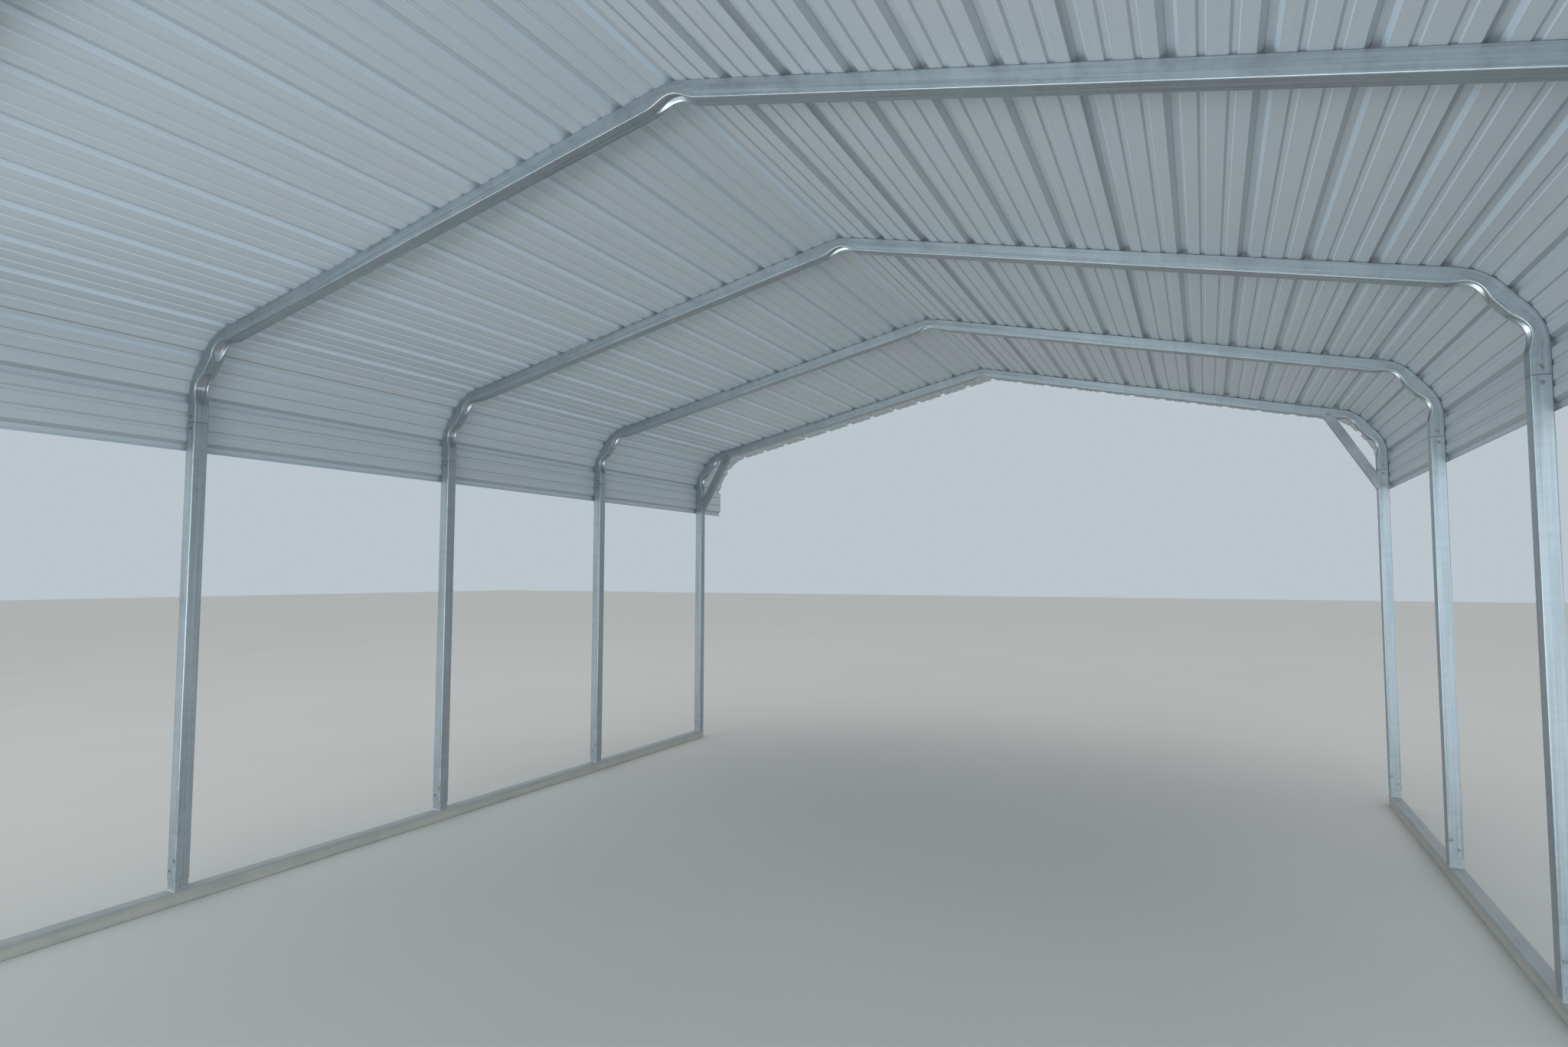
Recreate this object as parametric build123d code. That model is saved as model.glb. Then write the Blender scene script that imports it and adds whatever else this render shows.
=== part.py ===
from build123d import *
from math import atan2, cos, radians, sin, sqrt, tan
import os

# Open carport of galvanised square tube under ribbed steel sheets, with rounded eaves.
# Millimetres. X across the bay, Y along it, Z up from the ground.
# The origin lies on the ground under the middle of the roof.

# Steel tube of the base rails, legs and bows
tube_size = 63.5
tube_wall = 1.9
tube_corner = 2.3

# Frame layout
frame_width = 5486.0
frame_count = 5
frame_spacing = 1524.0
leg_length = 2134.0

# Stubs welded on the base rails, one inside each leg
stub_show = 50.0
stub_reach = 102.0
stub_slip = 0.4
stub_chamfer = 1.5

# Bent bows
roof_pitch = 12.5
eave_rise = 373.0
eave_setback = 180.0
bend_radius = 250.0
ridge_radius = 250.0
foot_overcut = 20.0

# The inner wall of a bow is pressed in at each bend, with a crescent groove between two lips
eave_press_reach = 87.0
eave_press_depth = 6.0
ridge_press_reach = 95.0
ridge_press_depth = 13.0
groove_depth = 15.0
groove_floor = 10.0
groove_mouth = 44.0
groove_short = 6.0

# Corner braces of folded channel on the two end frames
brace_width = 57.0
brace_depth = 48.0
brace_gauge = 1.9
brace_run = 274.0
brace_drop = 107.0
brace_edge = 16.0
brace_tab = 20.0
brace_clip = 14.0
brace_gap = 0.3

# Roof sheets, with their ribs along the bay
sheet_gauge = 0.45
rib_pitch = 228.6
rib_height = 19.0
rib_base = 60.0
rib_crown = 25.0
minor_height = 4.5
minor_base = 28.0
minor_crown = 14.0
ridge_pitches = 4
sheets_per_side = 3
skirt_drop = 110.0
roof_overhang = 400.0
lap_lip = 2.0

# Shortest stretch that counts as one of its own
hair = 0.01

# Places worked out from the sizes above
half_width = frame_width / 2
half_tube = tube_size / 2
leg_centre = half_width - half_tube
leg_bottom = tube_size + stub_show
seam_height = leg_bottom + leg_length
corner_height = seam_height + eave_rise
slope = radians(roof_pitch)
frame_places = [(i - (frame_count - 1) / 2) * frame_spacing for i in range(frame_count)]
rail_length = (frame_count - 1) * frame_spacing + tube_size
roof_length = rail_length + 2 * roof_overhang


def export(shape, name):
    """Write one piece to its own file."""
    export_step(shape, f"parts/{name}.step")


def square_tube(size, wall, corner, length):
    """Square tube with eased corners, standing on the origin."""
    outside = chamfer(Rectangle(size, size).vertices(), corner)
    return extrude(outside - Rectangle(size - 2 * wall, size - 2 * wall), length)


# Base rails: one tube on the ground for each side, with a stub for each leg
def base_rail(side):
    """The rail of one side, right for 1 and left for -1."""
    tube = square_tube(tube_size, tube_wall, tube_corner, rail_length)
    rail = Pos(side * leg_centre, rail_length / 2, tube_size / 2) * Rot(90, 0, 0) * tube
    stub_size = tube_size - 2 * (tube_wall + stub_slip)
    stub = square_tube(stub_size, tube_wall, stub_chamfer, stub_show + stub_reach)
    for place in frame_places:
        rail += Pos(side * leg_centre, place, tube_size) * stub
    return rail


# Legs: plain tube, from above the rail to the seam under the bow
def leg(side, place):
    """The leg of one side at a place along the bay."""
    tube = square_tube(tube_size, tube_wall, tube_corner, leg_length)
    return Pos(side * leg_centre, place, leg_bottom) * tube


# Bows: corner points of the outer face, seen along the bay, from the right foot to the left
def mirrored(point):
    """The same point on the other side of the ridge."""
    return Vector(-point.X, point.Y)


foot = Vector(half_width, seam_height)
low_corner = Vector(half_width, corner_height - eave_setback)
high_corner = Vector(half_width, corner_height) + Vector(-cos(slope), sin(slope)) * eave_setback
apex = Vector(0, corner_height + half_width * tan(slope))
right_corners = [foot, low_corner, high_corner]
corners = right_corners + [apex] + [mirrored(p) for p in reversed(right_corners)]
ways = [(b - a).normalized() for a, b in zip(corners, corners[1:])]
bends = range(1, len(ways))
ridge_bend = len(ways) // 2
bend_radii = [ridge_radius if i == ridge_bend else bend_radius for i in bends]


def inner_vertex(bend, depth):
    """Where the straight faces on both sides of a bend would meet, at a depth in the tube."""
    inward = (ways[bend] - ways[bend - 1]).normalized()
    half_turn = radians(ways[bend - 1].get_angle(ways[bend])) / 2
    return corners[bend] + inward * (depth / cos(half_turn)), inward, half_turn


def pressing(bend):
    """Reach along the tube and depth of the pressing at a bend."""
    if bend == ridge_bend:
        return ridge_press_reach, ridge_press_depth
    return eave_press_reach, eave_press_depth


def pressed_edge(bend):
    """Inner line of a bow through a bend, where its edges are pressed into smooth lips."""
    vertex, inward, half_turn = inner_vertex(bend, tube_size)
    reach, press = pressing(bend)
    entry = vertex - ways[bend - 1] * reach
    leave = vertex + ways[bend] * reach
    return Spline(entry, vertex - inward * press, leave, tangents=[ways[bend - 1], ways[bend]])


def groove_rim(bend):
    """Centre and radius of the circle along the floor of the groove in a bend."""
    vertex, inward, half_turn = inner_vertex(bend, tube_size)
    reach, press = pressing(bend)
    half_chord = (reach - groove_short) * cos(half_turn)
    rise = (reach - groove_short) * sin(half_turn) + press + groove_depth
    radius = (half_chord ** 2 + rise ** 2) / (2 * rise)
    return vertex + inward * (radius - press - groove_depth), radius


def bore_edge(bend):
    """Inner line of the hollow through a bend, in straight runs a wall's thickness off the groove."""
    vertex, inward, half_turn = inner_vertex(bend, tube_size - tube_wall)
    centre, radius = groove_rim(bend)
    radius += tube_wall
    top = inward * -radius
    ends = []
    shoulders = []
    for way, sign in ((ways[bend - 1], -1), (ways[bend], 1)):
        nearest = vertex + way * (centre - vertex).dot(way)
        reach = sqrt(radius ** 2 - (centre - nearest).length ** 2)
        ends.append(nearest + way * sign * reach)
        middle = top + ends[-1] - centre
        shoulders.append(centre + middle * (radius ** 2 / middle.dot(top)))
    return Polyline(ends[0], shoulders[0], shoulders[1], ends[1])


def outer_edges(inset, lower):
    """Outer line of a bow from foot to foot, inset by a wall's thickness, with its feet carried down."""
    start = foot + Vector(-inset, -lower)
    line = [start] + [inner_vertex(bend, inset)[0] for bend in bends] + [mirrored(start)]
    return FilletPolyline(line, radius=[radius - inset for radius in bend_radii]).edges()


def bow_outline(inset, lower, inner_edge):
    """Side view of a bow between its outer line and an inner line."""
    start = foot + Vector(-inset, -lower)
    stop = foot + Vector(inset - tube_size, -lower)
    edges = outer_edges(inset, lower)
    edges += [Line(stop, start)]
    at = stop
    for bend in bends:
        through = inner_edge(bend)
        edges += [Line(at, through @ 0)] + through.edges()
        at = through @ 1
    edges += [Line(at, mirrored(stop)), Line(mirrored(stop), mirrored(start))]
    return make_face(edges)


def groove_disc(bend):
    """Disc whose rim leaves the crescent groove in the inner wall of a bend."""
    centre, radius = groove_rim(bend)
    flank = radius / 2
    half_floor = groove_floor / 2
    half_flank = half_floor + flank * (groove_mouth - groove_floor) / 2 / groove_depth
    rim = [(0, half_flank), (radius - flank, half_flank), (radius, half_floor)]
    rim += [(x, -y) for x, y in reversed(rim)]
    disc = revolve(make_face(Polyline(rim, close=True)), Axis.Y)
    return Pos(centre.X, 0, centre.Y) * disc


def bow():
    """One bow, with its middle plane on the origin."""
    blank = extrude(Plane.XZ * bow_outline(0, 0, pressed_edge), half_tube, both=True)
    outer_line = Plane.XZ * Wire(outer_edges(0, 0))
    long_edges = blank.edges().filter_by(lambda edge: abs((edge % 0.5).Y) < 0.5)
    inner_edges = long_edges.filter_by(lambda edge: edge.distance_to(outer_line) > tube_size)
    tube = chamfer(inner_edges, tube_corner)
    bore = bow_outline(tube_wall, foot_overcut, bore_edge)
    tube -= extrude(Plane.XZ * bore, half_tube - tube_wall, both=True)
    for bend in bends:
        tube -= groove_disc(bend)
    return tube


# Corner braces: a channel whose web laps one face of the bow and of the leg
def brace():
    """The right-hand brace, with its web on the plane Y = 0 and its flanges behind it."""
    inner_x = half_width - tube_size
    low_screw = Vector(inner_x + brace_edge, seam_height - brace_drop)
    inner_slope = tube_size / cos(slope)
    high_x = inner_x - brace_run
    high_z = corner_height + (half_width - high_x) * tan(slope) - inner_slope + brace_edge
    along = Vector(high_x, high_z) - low_screw
    frame = Plane((low_screw.X, 0, low_screw.Y), x_dir=(along.X, 0, along.Y), z_dir=(0, 1, 0))
    blank = Rectangle(along.length + 2 * brace_tab, brace_width)
    blank = chamfer(blank.vertices(), brace_clip)
    web = extrude(frame * Pos(along.length / 2, 0) * blank, -brace_gauge)
    flange = Box(along.length + 2 * brace_tab, brace_gauge, brace_depth)
    flange = Pos(along.length / 2, 0, brace_depth / 2 - brace_gauge) * flange
    offset = (brace_width - brace_gauge) / 2
    flanges = frame * (Pos(0, offset, 0) * flange + Pos(0, -offset, 0) * flange)
    slope_line = Vector(0, corner_height + half_width * tan(slope) - inner_slope - brace_gap)
    far_x = inner_x - brace_gap
    room = Polyline(
        (far_x, 0), (far_x, slope_line.Y - far_x * tan(slope)), (0, slope_line.Y), (0, 0), close=True
    )
    flanges &= extrude(Plane.XZ * make_face(room), 2 * brace_depth, both=True)
    return web + flanges


# Roof sheets: distances run down the bow's outer face from the ridge, heights stand off it
path_spare = 2 * rib_pitch
path_edges = outer_edges(0, path_spare)
path = Wire(path_edges)
to_seam = path.length / 2 - path_spare
side_pitches = round((to_seam + skirt_drop) / rib_pitch)
joints = []
reached = 0
for edge in path_edges:
    reached += edge.length
    joints.append(path.length / 2 - reached)


def on_path(distance, height):
    """Point at a distance down the right-hand side and a height over the bow."""
    at = path.length / 2 - distance
    point = path.position_at(at, position_mode=PositionMode.LENGTH)
    way = path.tangent_at(at, position_mode=PositionMode.LENGTH)
    return point + Vector(way.Y, -way.X) * height


def rib_points(centre, base, crown, height, shift, pans):
    """The four corners of a rib whose faces are shifted outwards, from pan level to pan level."""
    run = (base - crown) / 2
    lean = atan2(height, run)
    half_crown = crown / 2 + shift * tan(lean / 2)
    feet = [base / 2 + shift / sin(lean) - pan / tan(lean) for pan in pans]
    top = height + shift
    return [
        (centre - feet[0], pans[0]),
        (centre - half_crown, top),
        (centre + half_crown, top),
        (centre + feet[1], pans[1]),
    ]


def face_line(first, last, edges, face):
    """Underside (0) or top (1) of a sheet, as distances and heights, rib after rib."""
    level = face * sheet_gauge
    line = []
    for number in range(first, last + 1):
        shift = level
        pans = [level, level]
        for end, at in enumerate((first, last)):
            if number == at:
                shift += sheet_gauge if edges[end] == "over" else 0
                pans[end] = 0 if edges[end] == "free" else lap_lip
        line += rib_points(number * rib_pitch, rib_base, rib_crown, rib_height, shift, pans)
        if number < last:
            for third in (1 / 3, 2 / 3):
                centre = (number + third) * rib_pitch
                line += rib_points(
                    centre, minor_base, minor_crown, minor_height, level, (level, level)
                )
    return line


def path_line(start, end):
    """Edges between two section points: lines, with arcs where the sheet follows a bend."""
    cuts = [start]
    if start[1] == end[1]:
        low, high = sorted((start[0], end[0]))
        inside = sorted(d for d in joints if low + hair < d < high - hair)
        if start[0] > end[0]:
            inside.reverse()
        cuts += [(d, start[1]) for d in inside]
    cuts.append(end)
    edges = []
    for a, b in zip(cuts, cuts[1:]):
        from_point = on_path(*a)
        to_point = on_path(*b)
        middle = on_path((a[0] + b[0]) / 2, (a[1] + b[1]) / 2)
        if a[1] == b[1] and (middle - (from_point + to_point) / 2).length > hair / 10:
            edges.append(ThreePointArc(from_point, middle, to_point))
        else:
            edges.append(Line(from_point, to_point))
    return edges


def sheet(first, last, edges):
    """A sheet from one rib number to another, down the right-hand side."""
    ring = face_line(first, last, edges, 0)
    ring += reversed(face_line(first, last, edges, 1))
    outline = []
    for start, end in zip(ring, ring[1:] + ring[:1]):
        outline += path_line(start, end)
    return extrude(Plane.XZ * make_face(outline), roof_length / 2, both=True)


if __name__ == "__main__":
    os.makedirs("parts", exist_ok=True)
    for side, word in ((-1, "left"), (1, "right")):
        export(base_rail(side), f"base_rail_{word}")
        for number, place in enumerate(frame_places, 1):
            export(leg(side, place), f"leg_{word}_{number}")
    one_bow = bow()
    for number, place in enumerate(frame_places, 1):
        export(Pos(0, place, 0) * one_bow, f"bow_{number}")
    back_right = Pos(0, frame_places[-1] - half_tube, 0) * brace()
    back_left = mirror(back_right, Plane.YZ)
    export(back_right, "brace_right_back")
    export(back_left, "brace_left_back")
    export(mirror(back_right, Plane.XZ), "brace_right_front")
    export(mirror(back_left, Plane.XZ), "brace_left_front")
    first = ridge_pitches // 2
    export(sheet(-first, first, ("over", "over")), "roof_sheet_ridge")
    share = (side_pitches - first) / sheets_per_side
    laps = [first + round(share * number) for number in range(sheets_per_side + 1)]
    for number in range(1, sheets_per_side + 1):
        edges = ("under", "free" if number == sheets_per_side else "over")
        right = sheet(laps[number - 1], laps[number], edges)
        export(right, f"roof_sheet_right_{number}")
        export(mirror(right, Plane.YZ), f"roof_sheet_left_{number}")
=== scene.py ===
import bmesh
import bpy
import math
import random
from bpy.props import FloatProperty, FloatVectorProperty, IntProperty, PointerProperty
from mathutils import Matrix, Vector


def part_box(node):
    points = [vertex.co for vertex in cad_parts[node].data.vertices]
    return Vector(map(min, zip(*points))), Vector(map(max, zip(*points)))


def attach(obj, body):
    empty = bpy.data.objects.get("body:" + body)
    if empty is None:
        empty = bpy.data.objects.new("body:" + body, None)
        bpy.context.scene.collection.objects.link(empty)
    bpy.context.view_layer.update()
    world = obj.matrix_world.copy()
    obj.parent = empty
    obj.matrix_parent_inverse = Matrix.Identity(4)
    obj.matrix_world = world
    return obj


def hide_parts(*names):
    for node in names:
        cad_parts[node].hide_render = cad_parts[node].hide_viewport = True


bl_info = {
    "name": "Open carport",
    "version": (1, 0, 0),
    "blender": (4, 5, 0),
    "location": "3D View > Sidebar > Carport",
    "description": "Tubes, pressed bends, ribbed sheets and fixings of an open steel carport",
    "category": "Object",
}

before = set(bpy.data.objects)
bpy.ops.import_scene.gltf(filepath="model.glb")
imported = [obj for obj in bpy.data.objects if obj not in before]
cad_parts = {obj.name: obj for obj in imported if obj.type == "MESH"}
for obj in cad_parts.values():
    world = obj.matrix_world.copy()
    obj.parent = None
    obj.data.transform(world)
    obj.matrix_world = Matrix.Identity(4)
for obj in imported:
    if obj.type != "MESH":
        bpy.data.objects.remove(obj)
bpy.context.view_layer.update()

BODY = "root"
SIDES = (("left", -1), ("right", 1))
FRAMES = range(1, 6)
ACROSS = Vector((0, 1, 0))
UP = Vector((0, 0, 1))

# Fineness and small clearances
RIM_ANGLE = math.radians(50)
MERGE = 0.00002
SAME_PLACE = 0.00001
BOW_STEP = 0.005
PATH_STEP = 0.006
PATH_DROP = 0.45
SEAM_GAP = 0.0008
END_STAIN = 0.003
LONGEST_STRETCH = 0.03
RIB_MARGIN = 0.008
WELD_STEPS = 26
WELD_WANDER = 0.0008

# The pressing at a bend, as shares of its length, the tube's depth and the crescent's half width
NO_PRESSING = 2.0
CRESCENT_REACH = 0.95
LIPS_FROM = 0.4
CRESCENT_FLOOR = 0.62

# Sheets and screws
CREASE_GAIN = 4
RIPPLE_ACROSS = 5
RIPPLE_ALONG = 1.6
PITCHES = 4
OUTER_RIB = 13
RIB_TO_SCREW = 0.042
SCATTER_DOWN = 0.003
SCATTER_ACROSS = 0.008
WASHER_LIFT = 0.0016
FOOT_SCREWS = ((0.012, 0.041), (-0.02, 0.09))
BRACE_SCREWS = ((2.6955, 2.1405), (2.4055, 2.6463))

# The stage and the photo's camera
FLOOR_REACH = 60
WORLD_TINT = (0.94, 0.985, 1.0, 1)
WORLD_STRENGTH = 0.78
CAMERA_PLACE = (1.6133, -3.9407, 1.5256)
CAMERA_TURN = (26.16, 3.455, 0.105)
FOCAL_PIXELS = 1118.3
IMAGE_WIDTH = 2048

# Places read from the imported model
bow_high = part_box("bow_1")[1]
leg_low, leg_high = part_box("leg_right_1")
sheet_low, sheet_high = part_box("roof_sheet_ridge")
SEAM_HEIGHT = leg_high.z
LEG_FOOT = leg_low.z
HALF_WIDTH = bow_high.x
TUBE_SIZE = leg_high.x - leg_low.x
LEG_CENTRE = HALF_WIDTH - TUBE_SIZE / 2
SHEET_LENGTH = sheet_high.y - sheet_low.y


def frame_place(number):
    """Where a frame stands along the bay."""
    low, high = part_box(f"bow_{number}")
    return (low.y + high.y) / 2


# Properties
def metres(name, description, default):
    """A length that a user can change."""
    return FloatProperty(name=name, description=description, default=default, unit="LENGTH",
                         subtype="DISTANCE", precision=4)


def colour(name, description, default):
    """A colour that a user can change."""
    return FloatVectorProperty(name=name, description=description, default=default, size=3,
                               subtype="COLOR", min=0, max=1)


class CarportTubes(bpy.types.PropertyGroup):
    """Sizes of the tube frame."""
    roof_pitch: FloatProperty(name="Roof pitch", description="Slope of each half of the roof",
                              default=math.radians(12.5), subtype="ANGLE")
    eave_rise: metres("Eave rise", "Height of the eave's corner over the seam", 0.373)
    eave_setback: metres("Eave setback", "Length that the eave's bends cut off the corner", 0.18)
    bend_radius: metres("Bend radius", "Outer radius of each bend", 0.25)
    wall: metres("Wall", "Thickness of the tube's wall", 0.0019)
    corner: metres("Corner", "Radius along the tube's edges", 0.004)
    eave_reach: metres("Eave pressing", "Half length of the pressing in an eave bend", 0.087)
    ridge_reach: metres("Ridge pressing", "Half length of the pressing in the ridge bend", 0.098)
    lip_depth: metres("Lip depth", "How far the edges are pressed in at a bend", 0.0175)
    groove_depth: metres("Groove depth", "Depth of the crescent between the lips", 0.018)
    groove_width: metres("Groove width", "Width of the crescent between the lips", 0.053)
    lip_bulge: metres("Lip bulge", "How far the lips swell sideways", 0.0015)
    stub_slip: metres("Stub slip", "Clearance of a stub in its leg", 0.0004)
    stub_reach: metres("Stub reach", "Length of a stub inside its leg", 0.102)


class CarportSheets(bpy.types.PropertyGroup):
    """Sizes of the ribbed roof sheets."""
    gauge: metres("Gauge", "Thickness of a sheet", 0.00045)
    rib_pitch: metres("Rib pitch", "Distance between the ribs", 0.2286)
    rib_height: metres("Rib height", "Height of a rib over the pan", 0.019)
    rib_base: metres("Rib base", "Width of a rib at the pan", 0.048)
    rib_crown: metres("Rib crown", "Width of a rib at its top", 0.021)
    minor_height: metres("Minor height", "Height of a minor rib", 0.0045)
    minor_base: metres("Minor base", "Width of a minor rib at the pan", 0.024)
    minor_crown: metres("Minor crown", "Width of a minor rib at its top", 0.014)
    fold_radius: metres("Fold radius", "Radius of the folds of a rib", 0.0025)
    lap_lip: metres("Lap lip", "Height at which a lapped rib's far side ends", 0.002)
    edge_mark: metres("Edge mark", "Width of the stain along a cut edge", 0.008)
    ripple: metres("Ripple", "Unevenness of the pans", 0.0003)
    rows: IntProperty(name="Rows", description="Rows of points along a sheet", default=30, min=2)


class CarportFixings(bpy.types.PropertyGroup):
    """Sizes and places of the screws and welds."""
    head_width: metres("Head width", "Across the flats of a screw's head", 0.0102)
    head_height: metres("Head height", "Height of a screw's head", 0.0055)
    collar_width: metres("Collar width", "Diameter of the collar under a screw's head", 0.0175)
    washer_width: metres("Washer width", "Diameter of the sealing washer of a roof screw", 0.0185)
    seam_spread: metres("Seam spread", "Distance of the frame screws from the seam", 0.028)
    weld_bead: metres("Weld bead", "Size of the weld round each stub", 0.0042)
    seed: IntProperty(name="Seed", description="Seed of the small differences between fixings", default=7)


class CarportColours(bpy.types.PropertyGroup):
    """Colours of the finishes and of the stage."""
    zinc: colour("Zinc", "Zinc coating of the tubes", (0.35, 0.39, 0.415))
    strip_zinc: colour("Strip zinc", "Zinc coating of the braces", (0.32, 0.345, 0.36))
    sheet: colour("Sheet", "Coating of the roof sheets", (0.525, 0.575, 0.615))
    dust: colour("Dust", "Dust on the sheets and tubes", (0.46, 0.44, 0.38))
    floor: colour("Floor", "Floor under the carport", (0.58, 0.575, 0.56))
    backdrop: colour("Backdrop", "Sky behind the carport", (0.50, 0.56, 0.61))


class CarportSettings(bpy.types.PropertyGroup):
    """Everything that a user can change."""
    tubes: PointerProperty(type=CarportTubes)
    sheets: PointerProperty(type=CarportSheets)
    fixings: PointerProperty(type=CarportFixings)
    colours: PointerProperty(type=CarportColours)


def settings():
    """The settings of this scene."""
    return bpy.context.scene.carport


# Node trees from expressions
class Output:
    """A node's output, which takes part in sums like a number."""

    def __init__(self, graph, socket):
        self.graph = graph
        self.socket = socket

    def __getitem__(self, name):
        return Output(self.graph, find_socket(self.socket.node.outputs, name))

    def math(self, operation, *others):
        """A Math node on this value and others."""
        return self.graph.add("ShaderNodeMath", {"operation": operation}, {}, (self, *others))

    def math_after(self, operation, other):
        """A Math node on another value and this one."""
        return self.graph.add("ShaderNodeMath", {"operation": operation}, {}, (other, self))

    def __add__(self, other):
        return self.math("ADD", other)

    def __radd__(self, other):
        return self.math_after("ADD", other)

    def __sub__(self, other):
        return self.math("SUBTRACT", other)

    def __rsub__(self, other):
        return self.math_after("SUBTRACT", other)

    def __mul__(self, other):
        return self.math("MULTIPLY", other)

    def __rmul__(self, other):
        return self.math_after("MULTIPLY", other)

    def __truediv__(self, other):
        return self.math("DIVIDE", other)

    def __rtruediv__(self, other):
        return self.math_after("DIVIDE", other)

    def __pow__(self, other):
        return self.math("POWER", other)

    def __rpow__(self, other):
        return self.math_after("POWER", other)

    def __neg__(self):
        return self.math("MULTIPLY", -1)


def find_socket(sockets, name):
    """A socket by its place, identifier or name, if it is in use."""
    if isinstance(name, int):
        return sockets[name]
    for socket in sockets:
        if socket.enabled and name in (socket.identifier, socket.name):
            return socket
    raise KeyError(f"no socket named {name}")


class Graph:
    """A node tree that expressions add nodes to."""

    def __init__(self, tree):
        self.tree = tree

    def add(self, kind, choices=None, inputs=None, values=()):
        """Adds a node with its settings, then its inputs by name or in order."""
        node = self.tree.nodes.new(kind)
        for name, value in (choices or {}).items():
            if name == "stops":
                self.set_stops(node.color_ramp, value)
            else:
                setattr(node, name, value)
        for name, value in list((inputs or {}).items()) + list(enumerate(values)):
            self.feed(find_socket(node.inputs, name), value)
        return Output(self, next((s for s in node.outputs if s.enabled), None))

    def feed(self, socket, value):
        """Links or sets one input."""
        if isinstance(value, Output):
            self.tree.links.new(value.socket, socket)
        else:
            socket.default_value = value

    def set_stops(self, ramp, stops):
        """Gives a ramp its stops, each a place and a grey or a colour."""
        while len(ramp.elements) < len(stops):
            ramp.elements.new(1)
        for element, (place, shade) in zip(ramp.elements, stops):
            element.position = place
            element.color = (shade, shade, shade, 1) if isinstance(shade, (int, float)) else (*shade, 1)

    def join(self, *parts):
        """Joins geometry into one."""
        joined = self.add("GeometryNodeJoinGeometry")
        for part in reversed(parts):
            self.feed(joined.socket.node.inputs[0], part)
        return joined

    def shape(self, item):
        """The geometry of a helper object."""
        return self.add("GeometryNodeObjectInfo", {}, {"Object": item})["Geometry"]

    def change(self, kind, geometry, **inputs):
        """A node that changes a geometry."""
        return self.add("GeometryNode" + kind, {}, {"Geometry": geometry, **inputs})

    def named(self, name, kind="FLOAT"):
        """A value stored under a name."""
        return self.add("GeometryNodeInputNamedAttribute", {"data_type": kind}, {"Name": name})

    def sample(self, source, value, at, kind="FLOAT"):
        """A value at one point of another geometry."""
        return self.add("GeometryNodeSampleIndex", {"data_type": kind}, {
            "Geometry": source, "Value": value, "Index": at})

    def store(self, geometry, name, value, domain="POINT"):
        """Stores a vector on a geometry."""
        return self.add("GeometryNodeStoreNamedAttribute", {"data_type": "FLOAT_VECTOR", "domain": domain}, {
            "Geometry": geometry, "Name": name, "Value": value})

    def count(self, geometry, component="MESH"):
        """How many points a geometry has."""
        size = self.add("GeometryNodeAttributeDomainSize", {"component": component}, {"Geometry": geometry})
        return size["Point Count"]

    def grid(self, columns, rows):
        """A grid, with the column and the row of each of its points."""
        grid = self.add("GeometryNodeMeshGrid", {}, {"Vertices X": columns, "Vertices Y": rows})["Mesh"]
        index = self.add("GeometryNodeInputIndex")
        column = ((index + 0.5) / rows).math("FLOOR")
        return grid, column, index - column * rows

    def total(self, first, *others):
        """A sum of vectors."""
        for other in others:
            first = self.turn("ADD", first, other)
        return first

    def vector(self, x, y, z):
        """A vector from three values."""
        return self.add("ShaderNodeCombineXYZ", {}, {"X": x, "Y": y, "Z": z})

    def split(self, vector):
        """The three values of a vector."""
        parts = self.add("ShaderNodeSeparateXYZ", {}, {"Vector": vector})
        return parts["X"], parts["Y"], parts["Z"]

    def turn(self, operation, *vectors, **extra):
        """A Vector Math node."""
        return self.add("ShaderNodeVectorMath", {"operation": operation}, extra, vectors)

    def mix(self, factor, first, second):
        """One colour over another."""
        inputs = {"Factor": factor}
        for name, value in (("A", first), ("B", second)):
            inputs[name] = value if isinstance(value, Output) else (*value, 1)
        return self.add("ShaderNodeMix", {"data_type": "RGBA"}, inputs)

    def ramp(self, value, *stops):
        """A value through a ramp of greys or colours."""
        return self.add("ShaderNodeValToRGB", {"stops": stops}, {"Fac": value})

    def clamp(self, value):
        """A value kept between 0 and 1."""
        return self.add("ShaderNodeMath", {"operation": "MULTIPLY", "use_clamp": True}, {}, (value, 1))


# Small helpers for meshes
def new_mesh_object(name, mesh):
    """An object at the origin with this mesh."""
    piece = bpy.data.objects.new(name, mesh)
    bpy.context.scene.collection.objects.link(piece)
    return piece


def line_object(name, points, closed=False, **attributes):
    """A line of points as a mesh, with values stored on the points."""
    mesh = bpy.data.meshes.new(name)
    count = len(points)
    edges = [(i, (i + 1) % count) for i in range(count if closed else count - 1)]
    mesh.from_pydata(points, edges, [])
    for key, values in attributes.items():
        is_vector = isinstance(values[0], (tuple, Vector))
        kind = "FLOAT_VECTOR" if is_vector else "FLOAT"
        layer = mesh.attributes.new(key, kind, "POINT")
        flat = [number for value in values for number in value] if is_vector else values
        layer.data.foreach_set("vector" if is_vector else "value", flat)
    return new_mesh_object(name, mesh)


def tree_inputs(name, *sockets):
    """A new Geometry Nodes tree with named inputs, and its group input."""
    tree = bpy.data.node_groups.new(name, "GeometryNodeTree")
    tree.interface.new_socket("Geometry", in_out="OUTPUT", socket_type="NodeSocketGeometry")
    for label, kind in sockets:
        tree.interface.new_socket(label, in_out="INPUT", socket_type=f"NodeSocket{kind}")
    graph = Graph(tree)
    return graph, graph.add("NodeGroupInput")


def close_tree(graph, geometry, finish):
    """Realizes what the tree made and gives it its material."""
    real = graph.change("RealizeInstances", geometry)
    graph.add("NodeGroupOutput", {}, {"Geometry": graph.change("SetMaterial", real, Material=finish)})
    return graph.tree


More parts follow.
